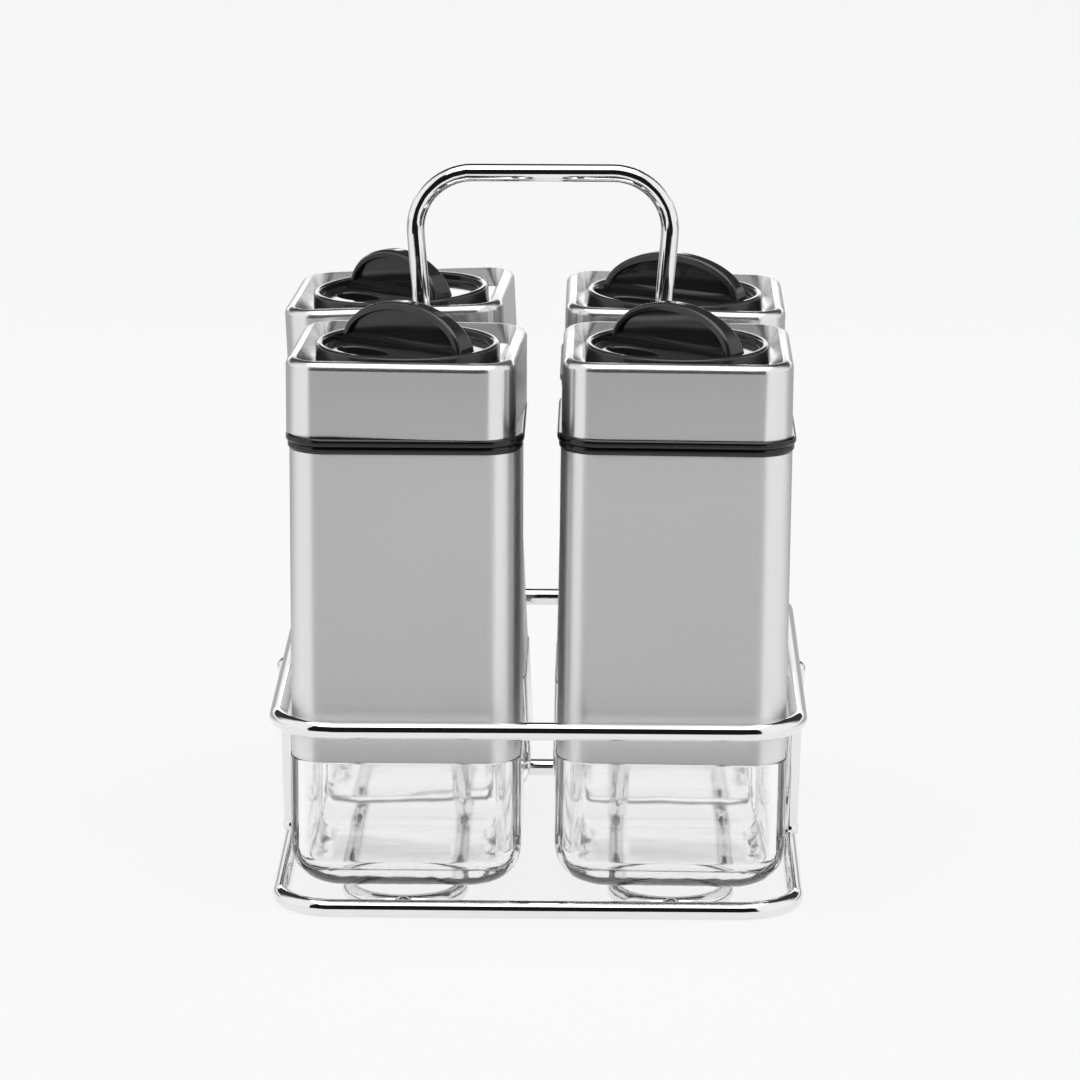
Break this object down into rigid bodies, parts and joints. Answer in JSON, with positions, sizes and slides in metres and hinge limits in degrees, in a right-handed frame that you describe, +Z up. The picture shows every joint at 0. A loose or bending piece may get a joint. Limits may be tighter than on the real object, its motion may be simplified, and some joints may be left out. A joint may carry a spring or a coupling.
{
  "type": "spice jar set",
  "caption": "Square glass spice jars with steel sleeves, steel lids and black twist dials, lifting out of a chrome wire caddy with a bail-shaped carrying handle.",
  "frame": {"origin": "on the ground, under the middle of the caddy", "axes": "+Z up, +X to the right seen from the front, +Y away from the front"},
  "size_m": [0.1206, 0.1236, 0.1575],
  "materials": {
    "chrome_wire": "mirror plated",
    "clear_glass": "clear, polished",
    "sleeve_steel": "fine horizontal brushing",
    "lid_steel": "satin",
    "seal_rubber": "satin black",
    "gasket_rubber": "matt black",
    "liner_plastic": "moulded black",
    "dial_plastic": "polished black",
    "screw_steel": "plain steel"
  },
  "bodies": {
    "caddy": {"base_ring": "chrome_wire", "guard_ring": "chrome_wire", "left_loop": "chrome_wire", "right_loop": "chrome_wire", "handle": "chrome_wire", "left_post": "chrome_wire", "right_post": "chrome_wire", "back_post": "chrome_wire"},
    "front_left_jar": {"front_left_glass": "clear_glass", "front_left_sleeve": "sleeve_steel", "front_left_seal_ring": "seal_rubber"},
    "front_left_lid": {"front_left_lid_shell": "lid_steel", "front_left_lid_liner": "liner_plastic", "front_left_sifter": "liner_plastic", "front_left_mouth_gasket": "gasket_rubber"},
    "front_left_dial_cap": {"front_left_dial": "dial_plastic", "front_left_dial_screw": "screw_steel", "front_left_dial_washer": "screw_steel"},
    "front_right_jar": {"front_right_glass": "clear_glass", "front_right_sleeve": "sleeve_steel", "front_right_seal_ring": "seal_rubber"},
    "front_right_lid": {"front_right_lid_shell": "lid_steel", "front_right_lid_liner": "liner_plastic", "front_right_sifter": "liner_plastic", "front_right_mouth_gasket": "gasket_rubber"},
    "front_right_dial_cap": {"front_right_dial": "dial_plastic", "front_right_dial_screw": "screw_steel", "front_right_dial_washer": "screw_steel"},
    "back_left_jar": {"back_left_glass": "clear_glass", "back_left_sleeve": "sleeve_steel", "back_left_seal_ring": "seal_rubber"},
    "back_left_lid": {"back_left_lid_shell": "lid_steel", "back_left_lid_liner": "liner_plastic", "back_left_sifter": "liner_plastic", "back_left_mouth_gasket": "gasket_rubber"},
    "back_left_dial_cap": {"back_left_dial": "dial_plastic", "back_left_dial_screw": "screw_steel", "back_left_dial_washer": "screw_steel"},
    "back_right_jar": {"back_right_glass": "clear_glass", "back_right_sleeve": "sleeve_steel", "back_right_seal_ring": "seal_rubber"},
    "back_right_lid": {"back_right_lid_shell": "lid_steel", "back_right_lid_liner": "liner_plastic", "back_right_sifter": "liner_plastic", "back_right_mouth_gasket": "gasket_rubber"},
    "back_right_dial_cap": {"back_right_dial": "dial_plastic", "back_right_dial_screw": "screw_steel", "back_right_dial_washer": "screw_steel"}
  },
  "joints": [
    {"name": "front_left_lift", "type": "slide", "parent": "caddy", "child": "front_left_jar", "axis": [0, 0, 1], "range_m": [0, 0.16]},
    {"name": "front_left_lid_off", "type": "slide", "parent": "front_left_jar", "child": "front_left_lid", "axis": [0, 0, 1], "range_m": [0, 0.03]},
    {"name": "front_left_dial_turn", "type": "hinge", "parent": "front_left_lid", "child": "front_left_dial_cap", "pos_m": [-0.02906, -0.0303, 0.11985], "axis": [0, 0, 1], "range_deg": [-94, 86]},
    {"name": "front_right_lift", "type": "slide", "parent": "caddy", "child": "front_right_jar", "axis": [0.0079, 0, 1], "range_m": [0, 0.16]},
    {"name": "front_right_lid_off", "type": "slide", "parent": "front_right_jar", "child": "front_right_lid", "axis": [0.0079, 0, 1], "range_m": [0, 0.03]},
    {"name": "front_right_dial_turn", "type": "hinge", "parent": "front_right_lid", "child": "front_right_dial_cap", "pos_m": [0.02991, -0.0303, 0.11994], "axis": [0.0079, 0, 1], "range_deg": [-89, 91]},
    {"name": "back_left_lift", "type": "slide", "parent": "caddy", "child": "back_left_jar", "axis": [-0.0471, 0, 0.9989], "range_m": [0, 0.16]},
    {"name": "back_left_lid_off", "type": "slide", "parent": "back_left_jar", "child": "back_left_lid", "axis": [-0.0471, 0, 0.9989], "range_m": [0, 0.03]},
    {"name": "back_left_dial_turn", "type": "hinge", "parent": "back_left_lid", "child": "back_left_dial_cap", "pos_m": [-0.03293, 0.0303, 0.12039], "axis": [-0.0471, 0, 0.9989], "range_deg": [-80, 100]},
    {"name": "back_right_lift", "type": "slide", "parent": "caddy", "child": "back_right_jar", "axis": [0.0192, 0, 0.9998], "range_m": [0, 0.16]},
    {"name": "back_right_lid_off", "type": "slide", "parent": "back_right_jar", "child": "back_right_lid", "axis": [0.0192, 0, 0.9998], "range_m": [0, 0.03]},
    {"name": "back_right_dial_turn", "type": "hinge", "parent": "back_right_lid", "child": "back_right_dial_cap", "pos_m": [0.03, 0.0303, 0.12009], "axis": [0.0192, 0, 0.9998], "range_deg": [-104, 76]}
  ]
}
